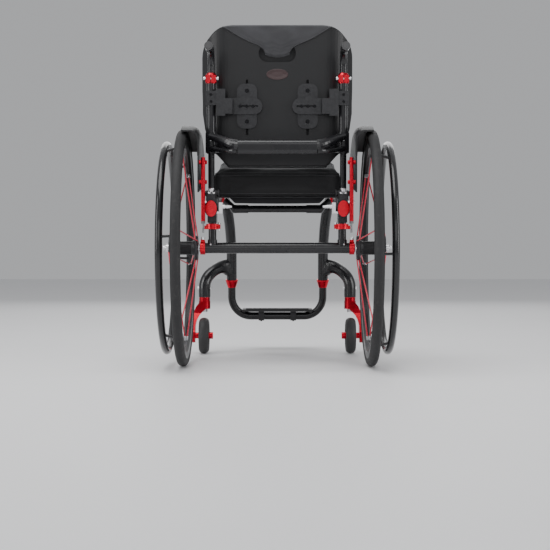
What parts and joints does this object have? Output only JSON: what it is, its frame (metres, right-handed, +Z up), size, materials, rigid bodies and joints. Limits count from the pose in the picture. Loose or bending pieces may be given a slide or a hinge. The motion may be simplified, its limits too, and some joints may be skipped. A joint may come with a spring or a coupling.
{
  "type": "manual wheelchair",
  "caption": "Rigid-frame manual wheelchair with a fold-down shell back, spoked rear wheels with hand rims, fork-mounted casters and a loop footrest.",
  "frame": {"origin": "on the floor, in the middle of the chair's box", "axes": "+Y the way the chair faces, +X to its right, +Z up"},
  "size_m": [0.57, 0.896, 0.847],
  "materials": {
    "bearing_steel": "ground bearing steel",
    "black_alloy": "black anodised",
    "bracket_black": "black anodised bracket",
    "bright_steel": "bright steel",
    "carbon_shell": "satin black composite",
    "caster_rubber": "firm black rubber on a black hub",
    "cushion_fabric": "black knitted cover over foam",
    "footplate_black": "black anodised plate",
    "frame_black": "satin black frame finish",
    "grip_rubber": "moulded rubber plug",
    "handrim_black": "smooth black coating",
    "red_anodised": "bright red anodised",
    "red_spoke": "red fibre-reinforced spoke with a bright nipple",
    "sling_fabric": "black woven upholstery",
    "tyre": "black rubber with a fine tread"
  },
  "bodies": {
    "frame": {"left_side_frame": "frame_black", "right_side_frame": "frame_black", "frame_end_caps": "red_anodised", "front_cross_tube": "frame_black", "red_frame_clamps": "red_anodised", "left_caster_arm": "frame_black", "right_caster_arm": "frame_black", "footrest_collars": "red_anodised", "footrest_tube": "frame_black", "footplate": "footplate_black", "footplate_clamps": "bracket_black", "camber_tube": "frame_black", "camber_plugs": "bracket_black", "axle_clamps": "red_anodised", "axle_stems": "frame_black", "seat_sling": "sling_fabric", "seat_cushion": "cushion_fabric", "left_side_guard": "carbon_shell", "right_side_guard": "carbon_shell", "guard_bars": "red_anodised", "frame_bolts": "bright_steel", "hinge_bases": "bracket_black", "stem_bearings": "bearing_steel", "left_axle_pin": "bright_steel", "right_axle_pin": "bright_steel"},
    "backrest": {"back_posts": "frame_black", "push_handles": "frame_black", "handle_plugs": "grip_rubber", "height_clamps": "red_anodised", "rigidizer_bar": "frame_black", "back_shell": "carbon_shell", "back_cushion": "cushion_fabric", "back_brackets": "bracket_black", "bracket_plates": "bracket_black", "lock_sectors": "bracket_black", "back_bolts": "bright_steel"},
    "left_rear_wheel": {"left_tyre": "tyre", "left_rim": "black_alloy", "left_spokes": "red_spoke", "left_hub": "black_alloy", "left_hub_bearings": "bearing_steel", "left_handrim": "handrim_black"},
    "left_axle_release": {"left_axle_button": "bright_steel"},
    "left_caster_swivel": {"left_caster_fork": "red_anodised", "left_caster_stem": "bright_steel", "left_caster_axle": "red_anodised"},
    "left_caster_wheel": {"left_caster_tyre": "caster_rubber"},
    "left_back_lock": {"left_lock_plunger": "bright_steel"},
    "right_rear_wheel": {"right_tyre": "tyre", "right_rim": "black_alloy", "right_spokes": "red_spoke", "right_hub": "black_alloy", "right_hub_bearings": "bearing_steel", "right_handrim": "handrim_black"},
    "right_axle_release": {"right_axle_button": "bright_steel"},
    "right_caster_swivel": {"right_caster_fork": "red_anodised", "right_caster_stem": "bright_steel", "right_caster_axle": "red_anodised"},
    "right_caster_wheel": {"right_caster_tyre": "caster_rubber"},
    "right_back_lock": {"right_lock_plunger": "bright_steel"}
  },
  "joints": [
    {"name": "backrest_fold", "type": "hinge", "parent": "frame", "child": "backrest", "pos_m": [0, -0.183, 0.43], "axis": [-1, 0, 0], "range_deg": [0, 45], "deforming": ["seat_cushion"]},
    {"name": "left_wheel_spin", "type": "hinge", "parent": "frame", "child": "left_rear_wheel", "pos_m": [-0.234, -0.153, 0.295], "axis": [1, 0, 0], "continuous": true},
    {"name": "left_axle_release", "type": "slide", "parent": "frame", "child": "left_axle_release", "axis": [1, 0, 0], "range_m": [0, 0.003], "stiffness_N_per_m": 600},
    {"name": "left_caster_swivel", "type": "hinge", "parent": "frame", "child": "left_caster_swivel", "pos_m": [-0.206, 0.287, 0.17], "axis": [0, 0, 1], "continuous": true},
    {"name": "left_caster_roll", "type": "hinge", "parent": "left_caster_swivel", "child": "left_caster_wheel", "pos_m": [-0.206, 0.245, 0.05], "axis": [1, 0, 0], "continuous": true},
    {"name": "left_lock_pull", "type": "slide", "parent": "frame", "child": "left_back_lock", "axis": [1, 0, 0], "range_m": [0, 0.005], "stiffness_N_per_m": 600},
    {"name": "right_wheel_spin", "type": "hinge", "parent": "frame", "child": "right_rear_wheel", "pos_m": [0.234, -0.153, 0.295], "axis": [1, 0, 0], "continuous": true},
    {"name": "right_axle_release", "type": "slide", "parent": "frame", "child": "right_axle_release", "axis": [-1, 0, 0], "range_m": [0, 0.003], "stiffness_N_per_m": 600},
    {"name": "right_caster_swivel", "type": "hinge", "parent": "frame", "child": "right_caster_swivel", "pos_m": [0.206, 0.287, 0.17], "axis": [0, 0, 1], "continuous": true},
    {"name": "right_caster_roll", "type": "hinge", "parent": "right_caster_swivel", "child": "right_caster_wheel", "pos_m": [0.206, 0.245, 0.05], "axis": [1, 0, 0], "continuous": true},
    {"name": "right_lock_pull", "type": "slide", "parent": "frame", "child": "right_back_lock", "axis": [-1, 0, 0], "range_m": [0, 0.005], "stiffness_N_per_m": 600}
  ]
}
